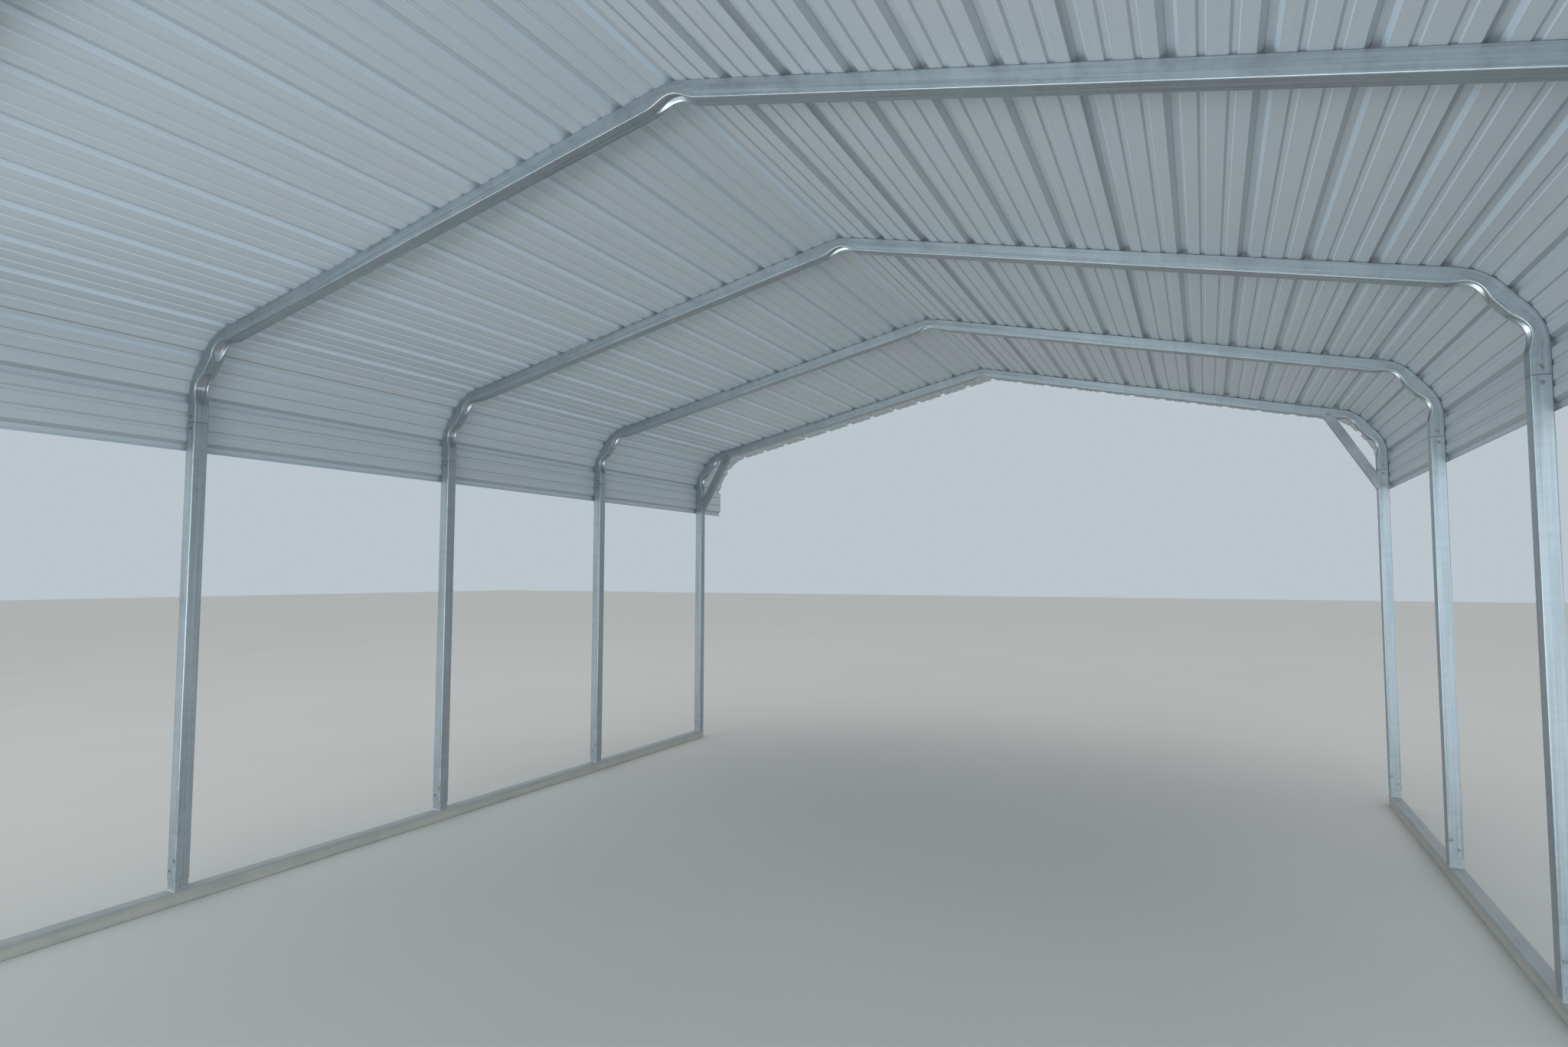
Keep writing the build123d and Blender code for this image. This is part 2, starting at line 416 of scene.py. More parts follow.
def run_tree(name, tree, values):
    """Runs a tree and returns its result as a plain mesh object at the origin."""
    maker = new_mesh_object(name + "_maker", bpy.data.meshes.new(name + "_maker"))
    modifier = maker.modifiers.new("Nodes", "NODES")
    modifier.node_group = tree
    for item in tree.interface.items_tree:
        if item.item_type == "SOCKET" and item.in_out == "INPUT" and item.name in values:
            modifier[item.identifier] = values[item.name]
    graph = bpy.context.evaluated_depsgraph_get()
    mesh = bpy.data.meshes.new_from_object(maker.evaluated_get(graph))
    mesh.name = name
    maker.modifiers.clear()
    bpy.data.meshes.remove(maker.data)
    if not mesh.polygons:
        raise RuntimeError(f"{name}: the tree {tree.name} made nothing")
    use_one_finish(mesh, values["Finish"])
    return new_mesh_object(name, mesh)


def add_wall(piece, thickness, side):
    """Gives an open skin its thickness, inside the skin for side -1 and outside it for side 1."""
    shell = piece.modifiers.new("Wall", "SOLIDIFY")
    shell.thickness = thickness
    shell.offset = side
    shell.use_even_offset = side < 0
    graph = bpy.context.evaluated_depsgraph_get()
    mesh = bpy.data.meshes.new_from_object(piece.evaluated_get(graph))
    piece.modifiers.clear()
    thin = piece.data
    piece.data = mesh
    bpy.data.meshes.remove(thin)


def use_one_finish(mesh, finish):
    """Leaves a mesh with its one material and no empty slot."""
    mesh.materials.clear()
    mesh.materials.append(finish)
    mesh.polygons.foreach_set("material_index", [0] * len(mesh.polygons))


def discard(*pieces):
    """Removes helper objects and their meshes."""
    for piece in pieces:
        bpy.data.meshes.remove(piece.data)


def tidy_normals(piece, close=False):
    """Points all faces outwards and keeps rims crisp, with open ends capped on request."""
    shape = bmesh.new()
    shape.from_mesh(piece.data)
    if close:
        bmesh.ops.holes_fill(shape, edges=[e for e in shape.edges if e.is_boundary])
    bmesh.ops.recalc_face_normals(shape, faces=shape.faces)
    for edge in shape.edges:
        edge.smooth = edge.calc_face_angle(0) < RIM_ANGLE
    shape.to_mesh(piece.data)
    shape.free()


def settle(piece, slot, *nodes):
    """Makes a finished piece ride on the frame in place of the nodes that it replaces."""
    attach(piece, BODY)
    if nodes:
        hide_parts(*nodes)
    return piece


def hollow_out(tube, wall):
    """Turns the skin of an open tube into a tube with a wall."""
    tidy_normals(tube)
    add_wall(tube, wall, -1)
    tidy_normals(tube)


def join_pieces(name, pieces):
    """Joins mesh objects of one finish into one mesh object."""
    shape = bmesh.new()
    for piece in pieces:
        shape.from_mesh(piece.data)
    mesh = bpy.data.meshes.new(name)
    shape.to_mesh(mesh)
    shape.free()
    mesh.materials.append(pieces[0].data.materials[0])
    discard(*pieces)
    return new_mesh_object(name, mesh)


# The line of a bow and of the sheets over it
def bow_corners(tubes, lower=0):
    """Corners of a bow's outer line, in X and Z, from the right foot to the left."""
    pitch = tubes.roof_pitch
    corner = Vector((HALF_WIDTH, SEAM_HEIGHT + tubes.eave_rise))
    right = [
        Vector((HALF_WIDTH, SEAM_HEIGHT - lower)),
        corner - Vector((0, tubes.eave_setback)),
        corner + Vector((-math.cos(pitch), math.sin(pitch))) * tubes.eave_setback,
    ]
    apex = Vector((0, corner.y + HALF_WIDTH * math.tan(pitch)))
    return right + [apex] + [Vector((-p.x, p.y)) for p in reversed(right)]


def outward_from(way):
    """The outward direction of a straight run of a bow."""
    return Vector((way.y, -way.x))


def bow_stations(tubes, spacing, lower=0):
    """Points along a bow's outer line: place, outward direction, distance, and place in a pressing."""
    corners = bow_corners(tubes, lower)
    ways = [(b - a).normalized() for a, b in zip(corners, corners[1:])]
    inner_radius = tubes.bend_radius - TUBE_SIZE
    stations = []

    def add(point, out, bend_place, reach):
        if stations and (point - stations[-1]["point"]).length < SAME_PLACE:
            return
        run = (point - stations[-1]["point"]).length if stations else 0
        along = stations[-1]["along"] + run if stations else 0
        place = bend_place / reach if reach else NO_PRESSING
        stations.append({"point": point, "out": out, "along": along, "place": place, "end": 0.0})

    first_out = outward_from(ways[0])
    add(corners[0], first_out, 0, 0)
    add(corners[0] + ways[0] * END_STAIN, first_out, 0, 0)
    for bend in range(1, len(ways)):
        before, after = ways[bend - 1], ways[bend]
        out_before = outward_from(before)
        turn = before.angle(after)
        reach = tubes.ridge_reach if bend == len(ways) // 2 else tubes.eave_reach
        tangent = tubes.bend_radius * math.tan(turn / 2)
        start = corners[bend] - before * tangent
        centre = start - out_before * tubes.bend_radius
        half_arc = inner_radius * turn / 2
        straight = max(reach - half_arc, 0) + spacing
        straight_steps = math.ceil(straight / spacing)
        for i in range(straight_steps, 0, -1):
            back = straight * i / straight_steps
            add(start - before * back, out_before, -half_arc - back, reach)
        steps = math.ceil(tubes.bend_radius * turn / spacing)
        for i in range(steps + 1):
            angle = turn * i / steps
            out = Vector((
                out_before.x * math.cos(angle) - out_before.y * math.sin(angle),
                out_before.x * math.sin(angle) + out_before.y * math.cos(angle),
            ))
            add(centre + out * tubes.bend_radius, out, half_arc * (2 * i / steps - 1), reach)
        finish = stations[-1]["point"]
        for i in range(1, straight_steps + 1):
            on = straight * i / straight_steps
            add(finish + after * on, outward_from(after), half_arc + on, reach)
    last_out = outward_from(ways[-1])
    add(corners[-1] - ways[-1] * END_STAIN, last_out, 0, 0)
    add(corners[-1], last_out, 0, 0)
    stations[0]["end"] = stations[-1]["end"] = 1.0
    return stations


def path_object(name, stations):
    """A bow's line as a mesh with its values on the points."""
    return line_object(
        name,
        [(s["point"].x, 0, s["point"].y) for s in stations],
        outward=[(s["out"].x, 0, s["out"].y) for s in stations],
        along=[s["along"] for s in stations],
        press_place=[s["place"] for s in stations],
        end=[s["end"] for s in stations],
    )


def straight_path(name, start, way, outward, length):
    """A straight tube's line, along the middle of the face that looks outward."""
    places = (0.0, END_STAIN, length - END_STAIN, length)
    return line_object(name, [start + way * place for place in places], outward=[outward] * 4,
                       along=places, press_place=[NO_PRESSING] * 4, end=[1.0, 0.0, 0.0, 1.0])


def straight_tube(name, tree, profile, size, line, sideways, finish):
    """A hollow straight tube, on a line given by its start, way, outward side and length."""
    path = straight_path(name + "_line", *line)
    tube = run_tree(name, tree, {
        "Path": path, "Profile": profile, "Size": size, "Sideways": sideways, "Finish": finish})
    discard(path)
    hollow_out(tube, settings().tubes.wall)
    return tube


def tube_profile(name, size, corner, fine=False):
    """Outline of a square tube, in Y and in depth under the outer face, with dense inner edges."""
    half = size / 2
    flat = half - corner
    support = corner * 0.25
    side_cuts = (0.45, 0.56, 0.66, 0.75, 0.82, 0.88) if fine else ()
    face_cuts = 36 if fine else 0
    down = [corner + support, *(size * cut for cut in side_cuts), size - corner - support]
    back = [flat - support, *(flat * (1 - 2 * i / face_cuts) for i in range(1, face_cuts)), support - flat]
    quarters = (
        (flat, corner, [(half, depth) for depth in down]),
        (flat, size - corner, [(y, size) for y in back]),
        (-flat, size - corner, [(-half, depth) for depth in reversed(down)]),
        (-flat, corner, [(support - flat, 0), (flat - support, 0)]),
    )
    points = []
    steps = 5
    for quarter, (y, depth, side) in enumerate(quarters):
        for i in range(steps + 1):
            angle = math.radians(90 * quarter - 90 + 90 * i / steps)
            points.append((y + corner * math.cos(angle), depth + corner * math.sin(angle)))
        points += side
    around = [0.0]
    for a, b in zip(points, points[1:] + points[:1]):
        around.append(around[-1] + math.dist(a, b))
    return line_object(name, [(y, 0, depth) for y, depth in points], closed=True, around=around[:-1])


def tube_tree():
    """A square tube along a line, pressed in at its bends."""
    graph, given = tree_inputs(
        "Tube along a line",
        ("Path", "Object"), ("Profile", "Object"), ("Shift", "Vector"), ("Sideways", "Vector"),
        ("Size", "Float"), ("Lip Depth", "Float"), ("Groove Depth", "Float"), ("Groove Width", "Float"),
        ("Bulge", "Float"), ("Finish", "Material"),
    )
    path, profile = graph.shape(given["Path"]), graph.shape(given["Profile"])
    corners = graph.count(profile)
    grid, station, around = graph.grid(graph.count(path), corners + 1)
    corner = around.math("MODULO", corners)
    position = graph.add("GeometryNodeInputPosition")
    centre = graph.sample(path, position, station, "FLOAT_VECTOR")
    outward = graph.sample(path, graph.named("outward", "FLOAT_VECTOR"), station, "FLOAT_VECTOR")
    along, place, end = (graph.sample(path, graph.named(name), station)
                         for name in ("along", "press_place", "end"))
    across, _, depth = graph.split(graph.sample(profile, position, corner, "FLOAT_VECTOR"))
    closing = around.math("GREATER_THAN", corners - 0.5)
    girth = graph.sample(profile, graph.named("around"), corner) + closing * given["Size"] * 4

    # The lips follow a smooth wave along the tube, and fade out up its sides
    inside = place.math("ABSOLUTE").math("LESS_THAN", 1)
    wave = (place * math.pi).math("COSINE") * 0.5 + 0.5
    share = depth / given["Size"]
    rising = graph.add("ShaderNodeMapRange", {"interpolation_type": "SMOOTHSTEP"}, {
        "Value": share, "From Min": LIPS_FROM, "From Max": 1.0})
    lip = inside * wave * rising

    # The crescent is as wide and as deep as the distance from its pointed ends allows
    near = place / CRESCENT_REACH
    fullness = (1 - near * near).math("MAXIMUM", 0)
    half_mouth = given["Groove Width"] * 0.5 * fullness ** 0.5 + 0.00001
    mouth_share = graph.clamp(across.math("ABSOLUTE") / half_mouth)
    hollow = graph.add("ShaderNodeMapRange", {"interpolation_type": "SMOOTHSTEP"}, {
        "Value": mouth_share, "From Min": CRESCENT_FLOOR, "From Max": 1.0, "To Min": 1.0, "To Max": 0.0})
    on_inner_face = share.math("GREATER_THAN", 0.999)
    groove = hollow * fullness * on_inner_face

    inward = depth - lip * given["Lip Depth"] - groove * given["Groove Depth"]
    swell = lip * given["Bulge"] * across.math("SIGN")
    sideways = graph.turn("SCALE", given["Sideways"], Scale=across + swell * (1 - on_inner_face))
    under = graph.turn("SCALE", outward, Scale=-inward)
    whole = graph.total(centre, sideways, under, given["Shift"])
    tube = graph.change("SetPosition", grid, Position=whole)
    strip = graph.vector(along, girth, lip - end)
    for domain in ("POINT", "CORNER"):
        tube = graph.store(tube, "strip", strip, domain)
        strip = graph.named("strip", "FLOAT_VECTOR")
    tube = graph.change("SetShadeSmooth", graph.change("MergeByDistance", tube, Distance=MERGE))
    return close_tree(graph, tube, given["Finish"])


# Roof sheets
def rib_corners(centre, base, crown, height, shift=0.0, pans=(0.0, 0.0)):
    """The four corners of a rib whose face is shifted outwards, from pan level to pan level."""
    lean = math.atan2(height, (base - crown) / 2)
    half_crown = crown / 2 + shift * math.tan(lean / 2)
    feet = [base / 2 + shift / math.sin(lean) - pan / math.tan(lean) for pan in pans]
    top = height + shift
    return [
        Vector((centre - feet[0], pans[0])),
        Vector((centre - half_crown, top)),
        Vector((centre + half_crown, top)),
        Vector((centre + feet[1], pans[1])),
    ]


def soften(corners, radius):
    """A line with its corners rounded and its long stretches divided."""
    line = [corners[0]]
    for before, corner, after in zip(corners, corners[1:], corners[2:]):
        back, on = before - corner, after - corner
        turn = math.pi - back.angle(on)
        cut = min(radius * math.tan(turn / 2), back.length * 0.45, on.length * 0.45)
        start, end = corner + back.normalized() * cut, corner + on.normalized() * cut
        for i in range(4):
            t = i / 3
            line.append(start * (1 - t) ** 2 + corner * 2 * t * (1 - t) + end * t ** 2)
    line.append(corners[-1])
    dense = [line[0]]
    for a, b in zip(line, line[1:]):
        run = (b - a).length
        steps = max(1, math.ceil(run / LONGEST_STRETCH))
        shares = [i / steps for i in range(1, steps + 1)]
        if run > radius * 2:
            shares = sorted({radius * 0.3 / run, 1 - radius * 0.3 / run, *shares})
        dense += [a.lerp(b, share) for share in shares]
    return dense


def section_object(name, corners, sheets, edges):
    """A stretch of a sheet's section, with its slope, its creases and its cut edges."""
    line = soften(corners, sheets.fold_radius)
    form = []
    for i, point in enumerate(line):
        before, after = line[max(i - 1, 0)], line[min(i + 1, len(line) - 1)]
        way = (after - before).normalized()
        back, on = point - before, after - point
        bend = back.angle_signed(on) if back.length and on.length else 0
        near_edge = min([(point - line[end]).length for end in edges] or [1])
        # The slope and the bend of each point feed the sheet finish's painted light and shade; the nearness
        # to a cut edge feeds its stain.
        form.append((way.y, bend * CREASE_GAIN, max(0, 1 - near_edge / sheets.edge_mark)))
    return line_object(name, [(p.x, 0, p.y) for p in line], form=form)


def section_parts(sheets):
    """The stretches that a sheet is put together from."""
    edge = sheets.rib_base / 2 + RIB_MARGIN
    gauge, lip = sheets.gauge, sheets.lap_lip
    major = (sheets.rib_base, sheets.rib_crown, sheets.rib_height)
    minor = (sheets.minor_base, sheets.minor_crown, sheets.minor_height)
    parts = {}
    full = rib_corners(0, *major)
    parts["rib"] = [Vector((-edge, 0))] + full + [Vector((edge, 0))]
    between = [Vector((edge, 0))]
    for third in (1 / 3, 2 / 3):
        between += rib_corners(sheets.rib_pitch * third, *minor)
    parts["between"] = between + [Vector((sheets.rib_pitch - edge, 0))]
    for kind, shift, pan in (("over", gauge, lip), ("under", 0.0, lip), ("free", 0.0, 0.0)):
        first = rib_corners(0, *major, shift=shift, pans=(pan, 0.0))
        last = rib_corners(0, *major, shift=shift, pans=(0.0, pan))
        parts["first_" + kind] = first + [Vector((edge, 0))]
        parts["last_" + kind] = [Vector((-edge, 0))] + last
    ends = {"first": (0,), "last": (-1,)}
    return {
        name: section_object("section_" + name, line, sheets, ends.get(name.split("_")[0], ()))
        for name, line in parts.items()
    }


def sheet_tree():
    """A ribbed sheet bent over a line, put together rib by rib."""
    graph, given = tree_inputs(
        "Ribbed sheet",
        ("Path", "Object"), ("Rib", "Object"), ("Between", "Object"), ("First Rib", "Object"),
        ("Last Rib", "Object"), ("First", "Int"), ("Pitches", "Int"), ("Rib Pitch", "Float"),
        ("Side", "Float"), ("Middle", "Float"), ("Length", "Float"), ("Rows", "Int"),
        ("Ripple", "Float"), ("Seed", "Float"), ("Finish", "Material"),
    )

    def repeated(name, count, start):
        pitch = graph.vector(given["Rib Pitch"], 0, 0)
        begin = graph.vector(start * given["Rib Pitch"], 0, 0)
        line = graph.add("GeometryNodeMeshLine", {"mode": "OFFSET"}, {
            "Count": count, "Start Location": begin, "Offset": pitch})
        return graph.add("GeometryNodeInstanceOnPoints", {}, {
            "Points": line, "Instance": graph.shape(given[name])})

    first, pitches = given["First"], given["Pitches"]
    stretches = graph.join(
        repeated("First Rib", 1, first),
        repeated("Between", pitches, first),
        repeated("Rib", pitches - 1, first + 1),
        repeated("Last Rib", 1, first + pitches),
    )
    line = graph.change("MergeByDistance", graph.change("RealizeInstances", stretches), Distance=MERGE)
    line = graph.add("GeometryNodeMeshToCurve", {}, {"Mesh": line})
    rows = given["Rows"]
    grid, column, row = graph.grid(graph.count(line, "CURVE"), rows)
    flat = graph.sample(line, graph.add("GeometryNodeInputPosition"), column, "FLOAT_VECTOR")
    distance, _, height = graph.split(flat)
    form = graph.sample(line, graph.named("form", "FLOAT_VECTOR"), column, "FLOAT_VECTOR")

    # Each point stands off the line by its height, on the outward side
    curve = graph.add("GeometryNodeMeshToCurve", {}, {"Mesh": graph.shape(given["Path"])})
    on_path = graph.add("GeometryNodeSampleCurve", {"mode": "LENGTH"}, {
        "Curves": curve, "Length": given["Middle"] - distance * given["Side"]})
    outward = graph.turn("NORMALIZE", graph.turn("CROSS_PRODUCT", ACROSS, on_path["Tangent"]))
    along = (row / (rows - 1) - 0.5) * given["Length"]
    waves = graph.vector(distance * RIPPLE_ACROSS, along * RIPPLE_ALONG, given["Seed"])
    wander = graph.add("ShaderNodeTexNoise", {"noise_dimensions": "3D"}, {
        "Vector": waves, "Scale": 1.0, "Detail": 1.0})
    ripple = (wander - 0.5) * 2 * given["Ripple"]
    lifted = graph.turn("SCALE", outward, Scale=height + ripple)
    whole = graph.total(on_path["Position"], lifted, graph.vector(0, along, 0))
    sheet = graph.change("SetPosition", grid, Position=whole)
    sheet = graph.store(sheet, "strip", graph.vector(along, distance, height))
    sheet = graph.store(sheet, "form", form)
    return close_tree(graph, graph.change("SetShadeSmooth", sheet), given["Finish"])


# Finishes
class Finish(Graph):
    """A material built from expressions."""

    def __init__(self, name):
        material = bpy.data.materials.new(name)
        material.use_nodes = True
        material.node_tree.nodes.clear()
        super().__init__(material.node_tree)
        self.material = material

    def stored(self, name):
        """Values stored when the piece was made, such as its strip: along, around and over it."""
        return self.add("ShaderNodeAttribute", {"attribute_name": name})["Vector"]

    def place(self):
        """Place in the shared frame."""
        return self.add("ShaderNodeTexCoord")["Object"]

    def stretched(self, vector, x, y, z):
        """A place scaled along each axis."""
        return self.turn("MULTIPLY", vector, (x, y, z))

    def noise(self, vector, scale, detail=2.0, roughness=0.5):
        """Smooth noise between 0 and 1."""
        return self.add("ShaderNodeTexNoise", {}, {
            "Vector": vector, "Scale": scale, "Detail": detail, "Roughness": roughness})

    def patches(self, vector, scale):
        """Random grey patches, like the crystals of a zinc coating."""
        cells = self.add("ShaderNodeTexVoronoi", {}, {"Vector": vector, "Scale": scale})
        return self.split(cells["Color"])[0]

    def bump(self, height, distance, strength=1.0):
        """A normal from a height."""
        return self.add("ShaderNodeBump", {}, {"Height": height, "Distance": distance, "Strength": strength})

    def surface(self, **sockets):
        """Closes the material with one shader."""
        named = {
            key.replace("_", " ").title().replace("Ior", "IOR"): value for key, value in sockets.items()
        }
        shader = self.add("ShaderNodeBsdfPrincipled", {}, named)
        self.add("ShaderNodeOutputMaterial", {}, {"Surface": shader})
        return self.material


def zinc_finish(name, base, follows_strip=True):
    """Zinc coating: streaks along the piece, faint crystals, scuffs and dull patches, and pressings
    lightened partly by polish and partly by a painted highlight.
    """
    finish = Finish(name)
    if follows_strip:
        place = finish.stored("strip")
        streak_place = finish.stretched(place, 1.2, 90, 90)
        cross_place = finish.stretched(place, 30, 1.5, 1.5)
    else:
        place = finish.place()
        streak_place = finish.stretched(place, 7, 7, 7)
        cross_place = finish.stretched(place, 2, 2, 2)
    streaks = finish.noise(streak_place, 1.0, 3.0)
    bands = finish.noise(cross_place, 1.0, 2.0)
    crystals = finish.patches(place, 70)
    cloud = finish.noise(place, 6.0, 4.0, 0.6)
    dark = tuple(c * 0.74 for c in base)
    light = tuple(min(1, c * 1.2) for c in base)
    tone = finish.ramp(streaks * 0.6 + bands * 0.12 + crystals * 0.05 + cloud * 0.23,
                       (0.34, dark), (0.52, base), (0.7, light))
    worn = finish.ramp(finish.noise(place, 34.0, 4.0, 0.65), (0.62, 0.0), (0.78, 1.0))
    shade = finish.mix(worn * 0.3, tone, (0.56, 0.57, 0.56))
    rough = 0.34 + cloud * 0.14 + crystals * 0.05 + worn * 0.12
    metal = 0.8
    if follows_strip:
        mark = finish.split(place)[2]
        polish_and_highlight = finish.clamp(mark * 1.6)
        shade = finish.mix(finish.clamp(-mark) * 0.5, shade, (0.06, 0.06, 0.058))
        # The pressings are made lighter here: partly the polish of the press, partly a painted highlight on
        # the lips and the crescent.
        shade = finish.mix(polish_and_highlight * 0.4, shade, (0.6, 0.62, 0.63))
        ground = finish.clamp(1.55 - finish.split(finish.place())[2] / 0.055)
        soil = ground * finish.ramp(cloud, (0.25, 0.6), (0.6, 1.0))
        shade = finish.mix(soil * 0.85, shade, settings().colours.dust)
        metal = metal - soil * 0.6
        rough = rough - polish_and_highlight * 0.12 + soil * 0.3
    height = streaks * 0.5 + finish.noise(place, 300.0, 2.0) * 0.2
    return finish.surface(base_color=shade, metallic=metal, roughness=rough,
                          normal=finish.bump(height, 0.0004, 0.35))


def sheet_finish():
    """Coated sheet: satin, with drying lines along its ribs, creases darkened by grime and painted shade,
    rib walls painted lighter or darker by the way they face, and stained cut edges.
    """
    finish = Finish("coated sheet")
    base = settings().colours.sheet
    place = finish.stored("strip")
    slope, crease, edge = finish.split(finish.stored("form"))
    lines = finish.noise(finish.stretched(place, 0.3, 70, 0), 1.0, 3.0)
    cloud = finish.noise(finish.stretched(place, 0.7, 2.5, 0), 1.0, 4.0, 0.6)
    fine = finish.noise(finish.stretched(place, 6.0, 40, 0), 1.0, 2.0)
    light = tuple(min(1, c * 1.03) for c in base)
    dark = tuple(c * 0.95 for c in base)
    tone = finish.ramp(lines * 0.35 + cloud * 0.5 + fine * 0.15, (0.32, dark), (0.5, base), (0.68, light))
    distance = finish.split(place)[1]
    # Painted light and shade: rib walls that face the ridge are painted lighter and bluer, and walls that
    # face away are painted darker.
    towards_ridge = slope * distance.math("SIGN") * -1
    painted_lit_walls = finish.clamp(towards_ridge * 1.2)
    painted_shaded_walls = finish.clamp(towards_ridge * -1.2)
    # Painted shade and grime in the creases, painted shade on the walls facing away from the ridge, and a
    # stain along the cut edges, all towards a dark grey.
    grime_and_painted_shade = finish.clamp(crease.math("ABSOLUTE")) * 0.34 + painted_shaded_walls * 0.28 + edge * 0.45
    shade = finish.mix(finish.clamp(grime_and_painted_shade * (0.8 + lines * 0.4)), tone, (0.16, 0.18, 0.19))
    # Painted light: the walls facing the ridge go towards a pale blue.
    shade = finish.mix(painted_lit_walls * 0.85, shade, (0.70, 0.80, 0.89))
    shade = finish.mix(finish.ramp(cloud, (0.35, 0.0), (0.8, 1.0)) * 0.2, shade, settings().colours.dust)
    rough = 0.38 + cloud * 0.1
    height = finish.noise(finish.stretched(place, 1.1, 7.0, 0), 1.0, 2.0)
    return finish.surface(base_color=shade, metallic=0.0, roughness=rough, specular_ior_level=0.5,
                          normal=finish.bump(height, 0.003, 0.1))


def mottled_finish(name, scale, detail, dark, light, metallic, rough, rougher, spread=0.2, bump=None):
    """A plain finish with mottled colour and roughness."""
    finish = Finish(name)
    mottle = finish.noise(finish.place(), scale, detail)
    tone = finish.ramp(mottle, (0.5 - spread, dark), (0.5 + spread, light))
    extra = {"normal": finish.bump(mottle, *bump)} if bump else {}
    return finish.surface(base_color=tone, metallic=metallic, roughness=rough + mottle * rougher, **extra)


def screw_finish():
    """Plated screws."""
    return mottled_finish("screw plating", 260.0, 3.0, (0.20, 0.22, 0.23), (0.36, 0.38, 0.39),
                          0.85, 0.3, 0.2, spread=0.15)


def washer_finish():
    """Dark rubber of the sealing washers."""
    return mottled_finish("washer rubber", 300.0, 2.0, (0.02, 0.02, 0.021), (0.05, 0.05, 0.052),
                          0.0, 0.65, 0.2)


def weld_finish():
    """Weld beads under cold zinc paint."""
    return mottled_finish("painted weld", 180.0, 4.0, (0.30, 0.31, 0.31), (0.48, 0.49, 0.5),
                          0.5, 0.45, 0.25, bump=(0.0006, 0.6))


# Fixings
def ring(reaches, height):
    """Points round +Z at one height, each at its own reach."""
    angles = [math.tau * i / len(reaches) for i in range(len(reaches))]
    return [(r * math.cos(a), r * math.sin(a), height) for r, a in zip(reaches, angles)]


def skin_rings(name, rings):
    """A closed solid with faces from ring to ring and over both ends."""
    shape = bmesh.new()
    rows = [[shape.verts.new(point) for point in points] for points in rings]
    for low, high in zip(rows, rows[1:]):
        for i in range(len(low)):
            j = (i + 1) % len(low)
            shape.faces.new((low[i], low[j], high[j], high[i]))
    shape.faces.new(rows[-1])
    shape.faces.new(list(reversed(rows[0])))
    mesh = bpy.data.meshes.new(name)
    shape.to_mesh(mesh)
    shape.free()
    return new_mesh_object(name, mesh)


def hex_screw(name, fixings, washer):
    """A hexagon head on its collar, standing on the origin along +Z."""
    count = 24
    flat = fixings.head_width / 2
    sixth = math.pi / 3
    to_flat = [flat / math.cos((math.tau * i / count + sixth / 2) % sixth - sixth / 2) for i in range(count)]
    lift = WASHER_LIFT if washer else 0.0
    collar = fixings.collar_width / 2
    corner = flat / math.cos(math.pi / 6)
    top = lift + fixings.head_height

    # Radius and height of each ring, and whether the flats cut into it
    plan = (
        (collar, lift, False),
        (collar, lift + 0.0006, False),
        (collar * 0.92, lift + 0.0011, False),
        (corner, lift + 0.0014, True),
        (corner, top - 0.0008, True),
        (flat * 0.97, top, True),
        (flat * 0.7, top, False),
    )
    return skin_rings(name, [
        ring([min(radius, reach) if flats else radius for reach in to_flat], height)
        for radius, height, flats in plan
    ])


def washer_disc(name, fixings):
    """A domed rubber washer under a roof screw."""
    radius = fixings.washer_width / 2

    # Share of the radius and height of each ring
    plan = ((1.0, 0.0), (1.03, 0.0006), (1.0, 0.0012), (0.8, 0.0017))
    return skin_rings(name, [ring([radius * share] * 20, height) for share, height in plan])


def fixing_tree():
    """Copies of a fixing on points, each turned a little differently."""
    graph, given = tree_inputs(
        "Fixings on points", ("Points", "Object"), ("Fixing", "Object"), ("Seed", "Int"),
        ("Finish", "Material"),
    )
    aim = graph.add("FunctionNodeAlignRotationToVector", {"axis": "Z"}, {
        "Vector": graph.named("facing", "FLOAT_VECTOR")})
    spin = graph.add("FunctionNodeRandomValue", {"data_type": "FLOAT"}, {
        "Min": 0.0, "Max": math.tau, "Seed": given["Seed"]})
    turn = graph.add("FunctionNodeEulerToRotation", {}, {"Euler": graph.vector(0, 0, spin)})
    both = graph.add("FunctionNodeRotateRotation", {"rotation_space": "LOCAL"}, {
        "Rotation": aim, "Rotate By": turn})
    placed = graph.add("GeometryNodeInstanceOnPoints", {}, {
        "Points": graph.shape(given["Points"]), "Instance": graph.shape(given["Fixing"]),
        "Rotation": both})
    return close_tree(graph, placed, given["Finish"])


def put_fixings(name, tree, points, shape, finish):
    """Puts a helper shape on points, each given as a place and the way that it faces."""
    line = line_object(name + "_points", [p for p, _ in points], facing=[tuple(f) for _, f in points])
    made = run_tree(name, tree, {
        "Points": line, "Fixing": shape, "Seed": settings().fixings.seed, "Finish": finish})
    discard(line, shape)
    settle(made, "galvanised_strip")


def weld_tree():
    """A bead of overlapping drops along a line."""
    graph, given = tree_inputs(
        "Weld bead", ("Line", "Object"), ("Size", "Float"), ("Seed", "Int"), ("Finish", "Material"),
    )
    drop = graph.add("GeometryNodeMeshIcoSphere", {}, {"Radius": given["Size"], "Subdivisions": 2})["Mesh"]
    size = graph.add("FunctionNodeRandomValue", {"data_type": "FLOAT_VECTOR"}, {
        "Min": (0.8, 0.8, 0.7), "Max": (1.15, 1.15, 1.0), "Seed": given["Seed"]})
    placed = graph.add("GeometryNodeInstanceOnPoints", {}, {
        "Points": graph.shape(given["Line"]), "Instance": drop, "Scale": size})
    placed = graph.change("SetShadeSmooth", graph.change("RealizeInstances", placed))
    return close_tree(graph, placed, given["Finish"])


